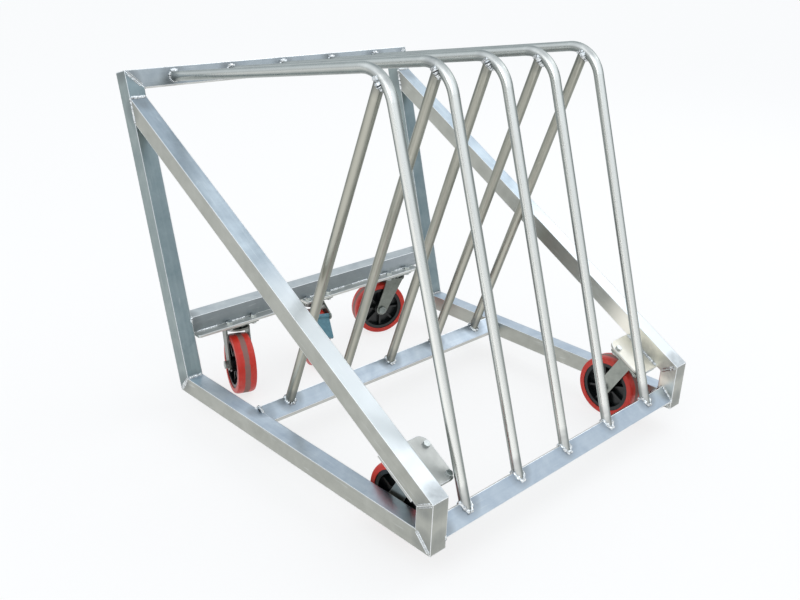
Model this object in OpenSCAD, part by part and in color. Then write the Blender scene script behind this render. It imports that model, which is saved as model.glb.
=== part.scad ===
// Cart for round tables. Five hoops over a leaning tube frame leave four slots,
// and three swivel casters behind and two fixed casters in front carry it.
// Side outlines are [forward, up], from the rear lower corner of the base rails.

/* [Frame] */
// Outer width of the frame
frame_w = 860; // [820:2:960]
// Length of the base rails
base_d = 822; // [780:2:900]
// Side of the square tube
tube = 40; // [36:1:42]
// Wall of the square tube
tube_wall = 3; // [1.5:0.5:5]
// Clear height under the base rails
base_clear = 54; // [48:1:60]
// Height of the leaning back above the base rails' underside
back_h = 711; // [660:1:780]
// Lean of the back from upright, in degrees
back_lean = 15.6; // [12:0.2:18]
// Distance from the top of the back down to the braces
brace_drop = 60; // [50:1:100]
// Height of the front posts
front_post_h = 111; // [106:1:120]
// Distance of the middle rail in front of the base rails' rear ends
middle_rail_f = 259; // [230:1:320]
// Height of the two turned rails' centres above the base rails' underside
turned_rail_z = 22; // [20:1:26]

/* [Hoops] */
// Outer diameter of the hoop and strut tube
hoop_od = 22; // [18:1:25]
// Wall of the hoop and strut tube
hoop_wall = 2; // [1:0.5:3]
// Gap between the front plate's inner edge and the centre of the first hoop
first_hoop_gap = 3; // [2:1:14]
// Distance from the top of the back down to the hoops' starts, at the tube's centre
hoop_drop = 22; // [16:1:24]
// Rise of the hoops' upper run, in degrees
hoop_rise = 9.2; // [6:0.1:12]
// Lean of the hoops' front leg from upright, in degrees
leg_lean = 18; // [14:0.1:22]
// Radius of the hoop's bend, to the tube's centre
bend_r = 75; // [60:1:100]
// Distance of the leg's foot behind the front rail's ridge
leg_foot_back = 1; // [-8:0.5:1.5]
// Distance of the strut's foot in front of the middle rail's centre
strut_foot_f = 8; // [0:0.5:12]
// Place of each strut's top along its hoop's bend, from the left
strut_top_shares = [0.5, 0.4, 0.32, 0.38, 0.38]; // [0.2:0.01:0.6]

/* [Caster plates] */
// Thickness of the mounting plates
plate_t = 6; // [4:1:8]
// Reach of the front mounting plates inward of the caster's middle
front_plate_in = 39; // [35:1:41]
// Reach of the front mounting plates ahead of the caster's middle
front_plate_ahead = 46; // [46:1:48]
// Reach of the front mounting plates behind the caster's middle
front_plate_behind = 58; // [47:1:62]
// Gap along the brace between the front mounting plate and the front post
toe_gap = 13; // [8:1:14]
// Corner radius of the front mounting plates
front_plate_r = 20; // [14:1:20]
// Depth of the rear mounting plates, front to back
rear_plate_d = 88; // [82:1:100]
// Corner radius of the rear mounting plates
rear_plate_r = 5; // [3:1:8]
// Reach of the left rear plate to the left of its caster
left_plate_out = 130; // [100:1:132]
// Reach of the left rear plate to the right of its caster
left_plate_in = 95; // [60:1:110]
// Reach of the right rear plate to the left of the middle caster
right_plate_in = 48; // [46:1:60]
// Reach of the right rear plate to the right of the right caster
right_plate_out = 68; // [60:1:100]

/* [Casters] */
// Diameter of the wheels
wheel_d = 150; // [144:1:152]
// Width of the wheels
wheel_w = 46; // [40:1:47]
// Thickness of the tyre
tyre_t = 14; // [10:1:18]
// Width of the tread's flat middle
tread_w = 26; // [16:1:32]
// Drop of the tyre's shoulder
shoulder_drop = 4; // [2:0.5:6]
// Height of a swivel caster's plate above its wheel
head_h = 30; // [28:1:34]
// Length of the caster plate
caster_plate_l = 92; // [88:1:96]
// Width of the caster plate
caster_plate_w = 80; // [76:1:82]
// Thickness of the caster plate
caster_plate_t = 5; // [4:0.5:6]
// Spacing of the bolts along the plate
bolt_pitch_l = 70; // [68:1:74]
// Spacing of the bolts across the plate
bolt_pitch_w = 56; // [55:1:60]
// Distance of the fixed casters' middle from the frame's side
fixed_inset = 77; // [77:1:80]
// Trail of the swivel casters
trail = 36; // [28:1:36]
// Distance of the left swivel caster from the frame's side
left_swivel_inset = 175; // [165:1:195]
// Distance of the middle swivel caster to the left of the middle
middle_swivel_left = 14; // [0:1:20]
// Distance of the right swivel caster from the frame's side
right_swivel_inset = 153; // [153:1:160]
// Turn of the left swivel caster, in degrees
left_angle = -20; // [-180:1:180]
// Turn of the middle swivel caster, in degrees
middle_angle = -24; // [-180:1:180]
// Turn of the right swivel caster, in degrees
right_angle = -112; // [-180:1:180]

/* [Forks] */
// Thickness of the fork legs
fork_t = 4; // [3:0.5:4]
// Gap between the wheel's side and the fork
fork_gap = 3; // [2.5:0.5:3.5]
// Width of the fixed fork's legs
fixed_leg_w = 34; // [30:1:44]
// Reach of the fixed fork's legs below the axle
fixed_leg_drop = 14; // [12:1:18]
// Corner radius at the lower end of the fixed fork's legs
fixed_leg_r = 8; // [4:1:12]
// Radius of the swivel fork's crown
crown_r = 38; // [35:1:40]
// Reach of the swivel fork's legs from the kingpin, at the crown
leg_root = 23; // [20:1:25]
// Thickness of the swivel fork's crown
crown_t = 5; // [4:0.5:6]
// Radius of the swivel fork's axle end
fork_end_r = 15; // [12:1:18]
// Radius of the ball track
track_r = 27; // [25:1:29]
// Diameter of the swivel balls
ball_d = 8; // [6:0.5:8]
// Number of balls in a swivel
ball_n = 16; // [10:1:18]
// Outer radius of the upper race
race_r = 34; // [33:1:36]
// Thickness of the upper race
race_t = 4; // [3:0.5:5]
// Gap between the upper race and the crown
race_gap = 5; // [4:0.5:6]
// Diameter of the kingpin
kingpin_d = 16; // [12:1:20]
// Diameter of the kingpin's lower collar
collar_d = 26; // [22:1:30]
// Height of the kingpin's lower collar
collar_h = 6; // [4:1:8]

/* [Wheels and bolts] */
// Diameter of the axles
axle_d = 12; // [10:1:14]
// Width across the flats of the axle's head and nut
axle_flats = 19; // [17:1:22]
// Thickness of the axle's head
axle_head = 6; // [4:0.5:7]
// Thickness of the axle's nut
axle_nut = 9; // [6:0.5:10]
// Outer diameter of the wheel's bearing sleeve
sleeve_d = 22; // [18:1:26]
// Outer diameter of the wheel's hub
hub_d = 38; // [32:1:46]
// Thickness of the wheel core's web
web_t = 10; // [6:1:16]
// Thickness of the wheel core's rim
rim_t = 9; // [6:1:12]
// Inset of the rim from the tyre's side
rim_inset = 2; // [1:0.5:4]
// Thickness of the core's ribs
rib_t = 5; // [3:1:8]
// Inset of the ribs from the rim's side
rib_inset = 6; // [4:1:10]
// Number of ribs on the core
rib_n = 8; // [4:1:12]
// Diameter of the plate bolts
bolt_d = 8; // [6:1:8]
// Width across the flats of the plate bolts' heads and nuts
bolt_flats = 13; // [10:1:13]
// Thickness of the plate bolts' heads
bolt_head = 5.5; // [4:0.5:6]
// Thickness of the plate bolts' nuts
bolt_nut = 6.5; // [5:0.5:7]

/* [Brake] */
// Distance of the brake pin behind the kingpin
brake_pin_y = 78; // [76:1:84]
// Depth of the brake pin below the caster plate's top
brake_pin_z = 30; // [28:1:32]
// Diameter of the brake pin
brake_pin_d = 8; // [6:1:8]
// Diameter of the pedal's barrel
barrel_d = 14; // [12:1:15]
// Radius of the fork's ears round the brake pin
ear_r = 9; // [8:1:10]
// Radius of the brake pin's heads
pin_head_r = 6.5; // [5:0.5:7]
// Slope of the pedal, in degrees
pedal_slope = 41; // [38:1:44]
// Length of the pedal from its pin
pedal_l = 62; // [50:1:64]
// Width of the pedal
pedal_w = 50; // [40:1:51]
// Thickness of the pedal
pedal_t = 4; // [3:0.5:5]
// Start of the brake pad along the pedal
pad_start = 15; // [12:1:18]
// Length of the brake pad
pad_l = 20; // [14:1:22]
// Thickness of the brake pad
pad_t = 4; // [2:0.5:4]
// Depth of the pedal's turned-down lip
lip_h = 5; // [3:1:6]

/* [Hidden] */
$fn = 48;

// Overrun of every cut past the piece that it cuts
cut = 5;
// Radial clearance of a shaft in its hole
run_fit = 0.05;
// Gap between the saddle end of a tube and the tube that it meets
saddle_gap = 0.05;
// Swelling of a tube in its bend
bend_swell = 0.1;
// Lap of the bend over the straight tubes
bend_lap = 1;
// Gap between a ball and its track
ball_gap = 0.3;
// Gap at the ends of the hub and of the pedal's barrel
end_gap = 0.5;
// Radial clearance of a plate bolt in its hole
bolt_gap = 0.25;

half_w = frame_w / 2;
inner_w = half_w - tube;
half_diag = tube * sqrt(1 / 2);

// The leaning back: its direction up, its direction forward and its length
lean_u = [-sin(back_lean), cos(back_lean)];
lean_n = [cos(back_lean), sin(back_lean)];
post_len = back_h / cos(back_lean);
mid_f = (base_d - back_h * tan(back_lean)) / 2;
heel_f = tube * (1 - sin(back_lean)) / cos(back_lean);

// The brace: its ends on its upper edge, its slope, and its direction and depth
brace_top = lean_u * (post_len - brace_drop) + lean_n * tube;
brace_end = [base_d, front_post_h];
brace_slope = atan((brace_top[1] - brace_end[1]) / (brace_end[0] - brace_top[0]));
brace_dir = [cos(brace_slope), -sin(brace_slope)];
brace_in = [-sin(brace_slope), -cos(brace_slope)];
brace_heel_s = -tube * (brace_in * lean_n) / (brace_dir * lean_n);
brace_heel = brace_top + brace_dir * brace_heel_s + brace_in * tube;
brace_toe_s = (base_d - tube - brace_top[0] - brace_in[0] * tube) / brace_dir[0];
brace_toe = brace_top + brace_dir * brace_toe_s + brace_in * tube;

// The swivel casters set the height of their plates, which carry the rear rail
caster_h = wheel_d + head_h;
wheel_r = wheel_d / 2;
axle_depth = caster_h - wheel_r;
rear_rail_z = caster_h + plate_t - base_clear;
rear_rail_top = rear_rail_z + tube;
rear_rail_f = (tube - rear_rail_top * sin(back_lean)) / cos(back_lean);
kingpin_f = rear_rail_f - tube / 2;

// The hoop: its rear end, corner, bend and foot
front_plate_w = fixed_inset + front_plate_in;
hoop_pitch = (half_w - front_plate_w - first_hoop_gap) / 2;
front_rail_f = base_d - half_diag;
apex_z = turned_rail_z + half_diag;
hoop_start = lean_u * (post_len - hoop_drop) + lean_n * tube;
run_dir = [cos(hoop_rise), sin(hoop_rise)];
leg_dir = [sin(leg_lean), -cos(leg_lean)];
leg_top = [front_rail_f - leg_foot_back, apex_z];
hoop_gap = leg_top - hoop_start;
run_len = (hoop_gap[0] * leg_dir[1] - hoop_gap[1] * leg_dir[0])
    / (run_dir[0] * leg_dir[1] - run_dir[1] * leg_dir[0]);
hoop_corner = hoop_start + run_dir * run_len;
hoop_turn = hoop_rise + 90 - leg_lean;
bend_cut = bend_r * tan(hoop_turn / 2);
bend_from = hoop_corner - run_dir * bend_cut;
bend_to = hoop_corner + leg_dir * bend_cut;
bend_mid = bend_from + [run_dir[1], -run_dir[0]] * bend_r;
hoop_foot = leg_top + leg_dir * (apex_z - turned_rail_z) / cos(leg_lean);

// Each strut runs from the middle rail to the underside of its hoop's bend
strut_apex = [middle_rail_f + strut_foot_f, apex_z];

// The fixed casters hang square under the braces, with their wheels on the floor
fixed_s = brace_toe_s - toe_gap - front_plate_ahead;
fixed_rise = brace_top[1] - fixed_s * sin(brace_slope) + base_clear - wheel_r;
fixed_axle_depth = fixed_rise / cos(brace_slope) - tube - plate_t;
fixed_x = half_w - fixed_inset;

// Inside of a fork, and what stands between its legs
fork_in = wheel_w / 2 + fork_gap;
fork_out = fork_in + fork_t;
hub_len = 2 * fork_in - 4 * end_gap;
rim_r = wheel_r - tyre_t;
crown_top = caster_plate_t + race_t + race_gap;
ball_z = caster_plate_t + race_t + race_gap / 2;

pedal_dir = [-cos(pedal_slope), -sin(pedal_slope)];
pedal_in = [sin(pedal_slope), -cos(pedal_slope)];
pin_at = [-brake_pin_y, -brake_pin_z];

// Point where a line from p touches a circle, on the side given by s
function touch(p, c, r, s) =
    let (d = p - c, a = atan2(d[1], d[0]) + s * acos(r / norm(d)))
    c + r * [cos(a), sin(a)];

// Draws in the upright side plane at x, with [forward, up] as the first two axes
module side_plane(x) {
    translate([x, mid_f, base_clear]) rotate([90, 0, -90]) children();
}

module side_prism(x0, x1, outline) {
    side_plane(x1) linear_extrude(x1 - x0) polygon(outline);
}

// Draws on the leaning back, with z along the posts and y = -tube on their front
module lean_frame() {
    translate([0, mid_f, base_clear]) rotate([-back_lean, 0, 0]) children();
}

module on_side(side) {
    if (side < 0) mirror([1, 0, 0]) children();
    else children();
}

// A box from one corner to the other
module span(a, b) {
    translate(a) cube(b - a);
}

module side_tube(outline, hollow) {
    difference() {
        side_prism(inner_w, half_w, outline);
        side_prism(inner_w + tube_wall, half_w - tube_wall, hollow);
    }
}

// The hollow of a tube that runs from p along d, with its outer edge at p
function bore_outline(p, d, n, len) = [
    p - d * cut + n * tube_wall, p + d * (len + cut) + n * tube_wall,
    p + d * (len + cut) + n * (tube - tube_wall), p - d * cut + n * (tube - tube_wall)];

module rear_post(side) {
    color("#8a9aa0") on_side(side) difference() {
        side_tube([[0, 0], [heel_f, tube], lean_u * post_len + lean_n * tube, lean_u * post_len],
            bore_outline([0, 0], lean_u, lean_n, post_len));
        lean_frame() translate([0, cut, 0]) rotate([90, 0, 0]) linear_extrude(tube + 2 * cut)
            polygon([[inner_w - cut, post_len - tube - cut], [half_w + cut, post_len + cut],
                [inner_w - cut, post_len + cut]]);
    }
}

module top_rail() {
    color("#b4c0c8") lean_frame() difference() {
        rotate([90, 0, 0]) linear_extrude(tube)
            polygon([[-half_w, post_len], [half_w, post_len],
                [inner_w, post_len - tube], [-inner_w, post_len - tube]]);
        span([-half_w - cut, tube_wall - tube, post_len - tube + tube_wall],
            [half_w + cut, -tube_wall, post_len - tube_wall]);
    }
}

module base_rail(side) {
    color("#a2a89e") on_side(side)
        side_tube([[0, 0], [base_d, 0], [base_d - tube, tube], [heel_f, tube]],
            bore_outline([0, 0], [1, 0], [0, 1], base_d));
}

module front_post(side) {
    color("#a2a89e") on_side(side)
        side_tube([[base_d, 0], brace_end, brace_toe, [base_d - tube, tube]],
            bore_outline([base_d, 0], [0, 1], [-1, 0], front_post_h));
}

module brace(side) {
    color("#aebfcc") on_side(side)
        side_tube([brace_top, brace_end, brace_toe, brace_heel],
            bore_outline(brace_top - brace_dir * tube, brace_dir, brace_in,
                norm(brace_end - brace_top) + 2 * tube));
}

module rear_rail() {
    color("#aab4b8") difference() {
        side_prism(-inner_w, inner_w, [[rear_rail_f - tube, rear_rail_z], [rear_rail_f, rear_rail_z],
            [rear_rail_f, rear_rail_top], [rear_rail_f - tube, rear_rail_top]]);
        side_prism(-inner_w - cut, inner_w + cut,
            [[rear_rail_f - tube + tube_wall, rear_rail_z + tube_wall],
                [rear_rail_f - tube_wall, rear_rail_z + tube_wall],
                [rear_rail_f - tube_wall, rear_rail_top - tube_wall],
                [rear_rail_f - tube + tube_wall, rear_rail_top - tube_wall]]);
    }
}

// Outline of a square turned on its corner
function turned(f, half) = [
    [f - half, turned_rail_z], [f, turned_rail_z + half],
    [f + half, turned_rail_z], [f, turned_rail_z - half]];

module turned_rail(f) {
    color("#a9bbc8") difference() {
        side_prism(-inner_w, inner_w, turned(f, half_diag));
        side_prism(-inner_w - cut, inner_w + cut, turned(f, half_diag - tube_wall * sqrt(2)));
    }
}

// A round rod in the side plane, from p to q
module rod(p, q, r) {
    translate([p[0], p[1], 0]) rotate([0, 0, atan2(q[1] - p[1], q[0] - p[0])])
        rotate([0, 90, 0]) cylinder(h = norm(q - p), r = r);
}

module pipe(p, q, r, wall) {
    d = (q - p) / norm(q - p);
    difference() {
        rod(p, q, r);
        rod(p - d * cut, q + d * cut, r - wall);
    }
}

module bend(r, wall) {
    translate([bend_mid[0], bend_mid[1], 0]) rotate([0, 0, 90 + hoop_rise - hoop_turn])
        rotate_extrude(angle = hoop_turn) translate([bend_r, 0]) difference() {
            circle(r + bend_swell);
            if (wall > 0) circle(r - wall - bend_swell);
        }
}

module hoop(x) {
    color("#c9d0cf") difference() {
        side_plane(x) {
            pipe(hoop_start - run_dir * hoop_od, bend_from + run_dir * bend_lap, hoop_od / 2, hoop_wall);
            bend(hoop_od / 2, hoop_wall);
            pipe(bend_to - leg_dir * bend_lap, hoop_foot, hoop_od / 2, hoop_wall);
        }
        lean_frame() span([-half_w, -tube, post_len - 2 * tube], [half_w, tube, post_len + tube]);
        side_prism(-inner_w, inner_w, turned(front_rail_f, half_diag));
    }
}

module strut(k) {
    x = (k - 2) * hoop_pitch;
    at = 90 + hoop_rise - hoop_turn * strut_top_shares[k];
    top = bend_mid + [cos(at), sin(at)] * bend_r;
    d = (strut_apex - top) / norm(strut_apex - top);
    foot = strut_apex - d * (apex_z - turned_rail_z) / d[1];
    color("#9a9c92") difference() {
        side_plane(x) pipe(foot, top, hoop_od / 2, hoop_wall);
        side_plane(x) bend(hoop_od / 2 + saddle_gap, 0);
        side_prism(-inner_w, inner_w, turned(middle_rail_f, half_diag));
    }
}

// Draws under a brace, with z square to the brace and the caster plate's top at zero
module fixed_frame(side) {
    at = brace_top + brace_dir * fixed_s + brace_in * (tube + plate_t);
    on_side(side) translate([fixed_x, mid_f - at[0], base_clear + at[1]])
        rotate([brace_slope, 0, 0]) children();
}

function swivel_x(i) =
    [left_swivel_inset - half_w, -middle_swivel_left, half_w - right_swivel_inset][i];
function swivel_angle(i) = [left_angle, middle_angle, right_angle][i];

// Draws at a swivel caster, with the caster plate's top at zero
module swivel_frame(i, turned = true) {
    translate([swivel_x(i), mid_f - kingpin_f, caster_h])
        rotate([0, 0, turned ? swivel_angle(i) : 0]) children();
}

module rounded_rect(w, l, r) {
    difference() {
        square([w, l], center = true);
        for (sx = [-1, 1]) for (sy = [-1, 1])
            translate([sx * (w / 2 - r / 2 + cut / 2), sy * (l / 2 - r / 2 + cut / 2)])
                square([r + cut, r + cut], center = true);
    }
    for (sx = [-1, 1]) for (sy = [-1, 1])
        translate([sx * (w / 2 - r), sy * (l / 2 - r)]) circle(r);
}

module bolt_holes(l, w) {
    for (a = [-1, 1]) for (b = [-1, 1])
        translate([a * l / 2, b * w / 2, -caster_plate_t - cut])
            cylinder(h = caster_plate_t + plate_t + 2 * cut, d = bolt_d + 2 * bolt_gap);
}

module front_plate(side) {
    color("#dfe3e2") fixed_frame(side) difference() {
        linear_extrude(plate_t) difference() {
            translate([-front_plate_in, -front_plate_ahead])
                square([front_plate_w, front_plate_ahead + front_plate_behind]);
            for (b = [-1, 1])
                translate([-front_plate_in, b < 0 ? -front_plate_ahead : front_plate_behind])
                    difference() {
                        square(2 * front_plate_r, center = true);
                        translate([front_plate_r, -b * front_plate_r]) circle(front_plate_r);
                    }
        }
        for (b = [-1, 1]) translate([-bolt_pitch_w / 2, b * bolt_pitch_l / 2, -cut])
            cylinder(h = plate_t + 2 * cut, d = bolt_d + 2 * bolt_gap);
    }
}

module rear_plate(to_left, to_right, casters) {
    x0 = swivel_x(min(casters)) - to_left;
    x1 = swivel_x(max(casters)) + to_right;
    color("#d6dad9") difference() {
        translate([(x0 + x1) / 2, mid_f - kingpin_f, caster_h]) linear_extrude(plate_t)
            rounded_rect(x1 - x0, rear_plate_d, rear_plate_r);
        for (i = casters) swivel_frame(i, false) bolt_holes(bolt_pitch_l, bolt_pitch_w);
    }
}

// A rod across the fork, along x, at [y, z]
module cross_rod(at, x0, x1, r) {
    translate([x0, at[0], at[1]]) rotate([0, 90, 0]) cylinder(h = x1 - x0, r = r);
}

module fixed_fork(side) {
    end_z = -fixed_axle_depth - fixed_leg_drop;
    color("#8f9a90") fixed_frame(side) difference() {
        union() {
            translate([0, 0, -caster_plate_t]) linear_extrude(caster_plate_t)
                rounded_rect(caster_plate_w, caster_plate_l, fixed_leg_r);
            for (x = [-fork_out, fork_in]) difference() {
                span([x, -fixed_leg_w / 2, end_z], [x + fork_t, fixed_leg_w / 2, -caster_plate_t]);
                for (b = [-1, 1]) translate([x - cut, b * fixed_leg_w / 2, end_z]) rotate([0, 90, 0])
                    linear_extrude(fork_t + 2 * cut) difference() {
                        square(2 * fixed_leg_r, center = true);
                        translate([-fixed_leg_r, -b * fixed_leg_r]) circle(fixed_leg_r);
                    }
            }
        }
        bolt_holes(bolt_pitch_w, bolt_pitch_l);
        cross_rod([0, -fixed_axle_depth], -fork_out - cut, fork_out + cut, axle_d / 2 + run_fit);
    }
}

module axle_bolt() {
    cross_rod([0, 0], -fork_out, fork_out, axle_d / 2);
    translate([fork_out, 0, 0]) rotate([0, 90, 0])
        cylinder(h = axle_head, d = axle_flats / cos(30), $fn = 6);
    translate([-fork_out - axle_nut, 0, 0]) rotate([0, 90, 0])
        cylinder(h = axle_nut, d = axle_flats / cos(30), $fn = 6);
}

module bearing_sleeve() {
    difference() {
        cross_rod([0, 0], -hub_len / 2, hub_len / 2, sleeve_d / 2);
        cross_rod([0, 0], -hub_len / 2 - cut, hub_len / 2 + cut, axle_d / 2 + run_fit);
    }
}

module wheel_core() {
    rim_w = wheel_w - 2 * rim_inset;
    rib_w = rim_w - 2 * rib_inset;
    outer = rim_r - run_fit;
    difference() {
        union() {
            cross_rod([0, 0], -hub_len / 2, hub_len / 2, hub_d / 2);
            cross_rod([0, 0], -web_t / 2, web_t / 2, outer - rim_t / 2);
            for (i = [0 : rib_n - 1]) rotate([i * 360 / rib_n, 0, 0])
                span([-rib_w / 2, sleeve_d / 2 + run_fit, -rib_t / 2],
                    [rib_w / 2, outer - rim_t / 2, rib_t / 2]);
            difference() {
                cross_rod([0, 0], -rim_w / 2, rim_w / 2, outer);
                cross_rod([0, 0], -rim_w / 2 - cut, rim_w / 2 + cut, outer - rim_t);
            }
        }
        cross_rod([0, 0], -hub_len / 2 - cut, hub_len / 2 + cut, sleeve_d / 2 + run_fit);
    }
}

module tyre() {
    rotate([0, 90, 0]) rotate_extrude() polygon(concat(
        [[rim_r, -wheel_w / 2], [rim_r, wheel_w / 2]],
        [for (a = [0 : 15 : 90]) [wheel_r - shoulder_drop * (1 - sin(a)),
            tread_w / 2 + (wheel_w - tread_w) / 2 * cos(a)]],
        [for (a = [90 : 15 : 180]) [wheel_r - shoulder_drop * (1 - sin(a)),
            -tread_w / 2 + (wheel_w - tread_w) / 2 * cos(a)]]));
}

module fixed_wheel(side) {
    fixed_frame(side) translate([0, 0, -fixed_axle_depth]) children();
}

module swivel_wheel(i) {
    swivel_frame(i) translate([0, -trail, -axle_depth]) children();
}

module swivel_plate(i) {
    color("#8f9a90") swivel_frame(i, false) difference() {
        union() {
            translate([0, 0, -caster_plate_t]) linear_extrude(caster_plate_t)
                rounded_rect(caster_plate_l, caster_plate_w, fixed_leg_r);
            translate([0, 0, -caster_plate_t - race_t]) cylinder(h = race_t + caster_plate_t / 2, r = race_r);
        }
        translate([0, 0, -ball_z]) rotate_extrude() translate([track_r, 0]) circle(ball_d / 2 + ball_gap);
        translate([0, 0, -caster_plate_t - race_t - cut])
            cylinder(h = caster_plate_t + race_t + 2 * cut, d = kingpin_d + 2 * run_fit);
        bolt_holes(bolt_pitch_l, bolt_pitch_w);
    }
}

module kingpins() {
    color("#6f7a76") for (i = [0 : 2]) swivel_frame(i, false) {
        translate([0, 0, -crown_top - crown_t - end_gap])
            cylinder(h = crown_top + crown_t + end_gap, d = kingpin_d);
        translate([0, 0, -crown_top - crown_t - end_gap - collar_h]) cylinder(h = collar_h, d = collar_d);
    }
}

module swivel_balls() {
    color("#b9bec0") for (i = [0 : 2]) swivel_frame(i, false)
        for (k = [0 : ball_n - 1]) rotate([0, 0, k * 360 / ball_n])
            translate([track_r, 0, -ball_z]) sphere(d = ball_d);
}

// Side outline of a swivel fork's leg, in [back, up] from the plate's top
module leg_outline() {
    end = [-trail, -axle_depth];
    front = [leg_root, -crown_top - crown_t];
    back = [-leg_root, -crown_top - crown_t];
    polygon([[leg_root, -crown_top], front, touch(front, end, fork_end_r, -1), end,
        touch(back, end, fork_end_r, 1), back, [-leg_root, -crown_top]]);
    translate(end) circle(fork_end_r);
}

// Side outline of the ear that carries the brake pin
module ear_outline() {
    high = [-leg_root / 2, -crown_top];
    low = [-leg_root, -brake_pin_z - 2 * ear_r];
    polygon([high, touch(high, pin_at, ear_r, 1), pin_at, touch(low, pin_at, ear_r, -1), low]);
    translate(pin_at) circle(ear_r);
}

module side_cheeks() {
    for (x = [-fork_out, fork_in]) translate([x, 0, 0]) rotate([90, 0, 90]) linear_extrude(fork_t) children();
}

module swivel_fork(i) {
    color("#8f9a90") swivel_frame(i) difference() {
        union() {
            intersection() {
                translate([0, 0, -crown_top - crown_t]) cylinder(h = crown_t, r = crown_r);
                span([-fork_out, -crown_r, -crown_top - crown_t], [fork_out, crown_r, -crown_top]);
            }
            side_cheeks() {
                leg_outline();
                if (i == 1) ear_outline();
            }
        }
        translate([0, 0, -ball_z]) rotate_extrude() translate([track_r, 0]) circle(ball_d / 2 + ball_gap);
        translate([0, 0, -crown_top - crown_t - cut])
            cylinder(h = crown_t + 2 * cut, d = kingpin_d + 2 * run_fit);
        cross_rod([-trail, -axle_depth], -fork_out - cut, fork_out + cut, axle_d / 2 + run_fit);
        if (i == 1) cross_rod(pin_at, -fork_out - cut, fork_out + cut, brake_pin_d / 2 + run_fit);
    }
}

module brake_pin() {
    color("#6f7a76") swivel_frame(1) {
        cross_rod(pin_at, -fork_out, fork_out, brake_pin_d / 2);
        for (x = [-fork_out - fork_t / 2, fork_out]) cross_rod(pin_at, x, x + fork_t / 2, pin_head_r);
    }
}

module brake_pedal() {
    low = pin_at + pedal_in * (pedal_t / 2);
    high = pin_at - pedal_in * (pedal_t / 2);
    tip = low + pedal_dir * pedal_l;
    barrel = fork_in - end_gap;
    color("#4f7c8a") swivel_frame(1) difference() {
        union() {
            cross_rod(pin_at, -barrel, barrel, barrel_d / 2);
            translate([-pedal_w / 2, 0, 0]) rotate([90, 0, 90]) linear_extrude(pedal_w) {
                polygon([low, tip, tip - pedal_in * pedal_t, high]);
                polygon([tip - pedal_dir * pedal_t - pedal_in * (pedal_t / 2),
                    tip - pedal_dir * pedal_t + pedal_in * lip_h,
                    tip + pedal_in * lip_h, tip - pedal_in * (pedal_t / 2)]);
                polygon([low + pedal_dir * pad_start - pedal_in * (pedal_t / 2),
                    low + pedal_dir * pad_start + pedal_in * pad_t,
                    low + pedal_dir * (pad_start + pad_l) + pedal_in * pad_t,
                    low + pedal_dir * (pad_start + pad_l) - pedal_in * (pedal_t / 2)]);
            }
        }
        cross_rod(pin_at, -barrel - cut, barrel + cut, brake_pin_d / 2 + run_fit);
    }
}

// A bolt through both plates, its head above and its nut below, flats along y
module plate_bolt() {
    grip = plate_t + caster_plate_t;
    translate([0, 0, -caster_plate_t - bolt_nut]) cylinder(h = grip + bolt_nut, d = bolt_d);
    translate([0, 0, plate_t]) cylinder(h = bolt_head, d = bolt_flats / cos(30), $fn = 6);
    translate([0, 0, -caster_plate_t - bolt_nut]) cylinder(h = bolt_nut, d = bolt_flats / cos(30), $fn = 6);
}

module plate_bolts() {
    color("#d9dcdb") {
        for (i = [0 : 2]) swivel_frame(i, false) for (a = [-1, 1]) for (b = [-1, 1])
            translate([a * bolt_pitch_l / 2, b * bolt_pitch_w / 2, 0]) plate_bolt();
        for (side = [-1, 1]) fixed_frame(side) for (b = [-1, 1])
            translate([-bolt_pitch_w / 2, b * bolt_pitch_l / 2, 0]) plate_bolt();
    }
}

rear_post(-1);  // rear_post_left
rear_post(1);  // rear_post_right
top_rail();
base_rail(-1);  // base_rail_left
base_rail(1);  // base_rail_right
front_post(-1);  // front_post_left
front_post(1);  // front_post_right
brace(-1);  // brace_left
brace(1);  // brace_right
rear_rail();
turned_rail(middle_rail_f);  // middle_rail
turned_rail(front_rail_f);  // front_rail
hoop(-2 * hoop_pitch);  // hoop_1
hoop(-hoop_pitch);  // hoop_2
hoop(0);  // hoop_3
hoop(hoop_pitch);  // hoop_4
hoop(2 * hoop_pitch);  // hoop_5
strut(0);  // strut_1
strut(1);  // strut_2
strut(2);  // strut_3
strut(3);  // strut_4
strut(4);  // strut_5
front_plate(-1);  // front_plate_left
front_plate(1);  // front_plate_right
rear_plate(left_plate_out, left_plate_in, [0]);  // rear_plate_left
rear_plate(right_plate_in, right_plate_out, [1, 2]);  // rear_plate_right
fixed_fork(-1);  // fixed_fork_left
fixed_fork(1);  // fixed_fork_right
color("#6f7a76") fixed_wheel(-1) axle_bolt();  // fixed_axle_left
color("#6f7a76") fixed_wheel(1) axle_bolt();  // fixed_axle_right
color("#b9bec0") fixed_wheel(-1) bearing_sleeve();  // fixed_bearing_left
color("#b9bec0") fixed_wheel(1) bearing_sleeve();  // fixed_bearing_right
color("#0e1a1c") fixed_wheel(-1) wheel_core();  // fixed_core_left
color("#0e1a1c") fixed_wheel(1) wheel_core();  // fixed_core_right
color("#c8322a") fixed_wheel(-1) tyre();  // fixed_tyre_left
color("#c8322a") fixed_wheel(1) tyre();  // fixed_tyre_right
swivel_plate(0);  // swivel_plate_left
swivel_plate(1);  // swivel_plate_middle
swivel_plate(2);  // swivel_plate_right
swivel_fork(0);  // swivel_fork_left
swivel_fork(1);  // swivel_fork_middle
swivel_fork(2);  // swivel_fork_right
color("#6f7a76") swivel_wheel(0) axle_bolt();  // swivel_axle_left
color("#6f7a76") swivel_wheel(1) axle_bolt();  // swivel_axle_middle
color("#6f7a76") swivel_wheel(2) axle_bolt();  // swivel_axle_right
color("#b9bec0") swivel_wheel(0) bearing_sleeve();  // swivel_bearing_left
color("#b9bec0") swivel_wheel(1) bearing_sleeve();  // swivel_bearing_middle
color("#b9bec0") swivel_wheel(2) bearing_sleeve();  // swivel_bearing_right
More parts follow.
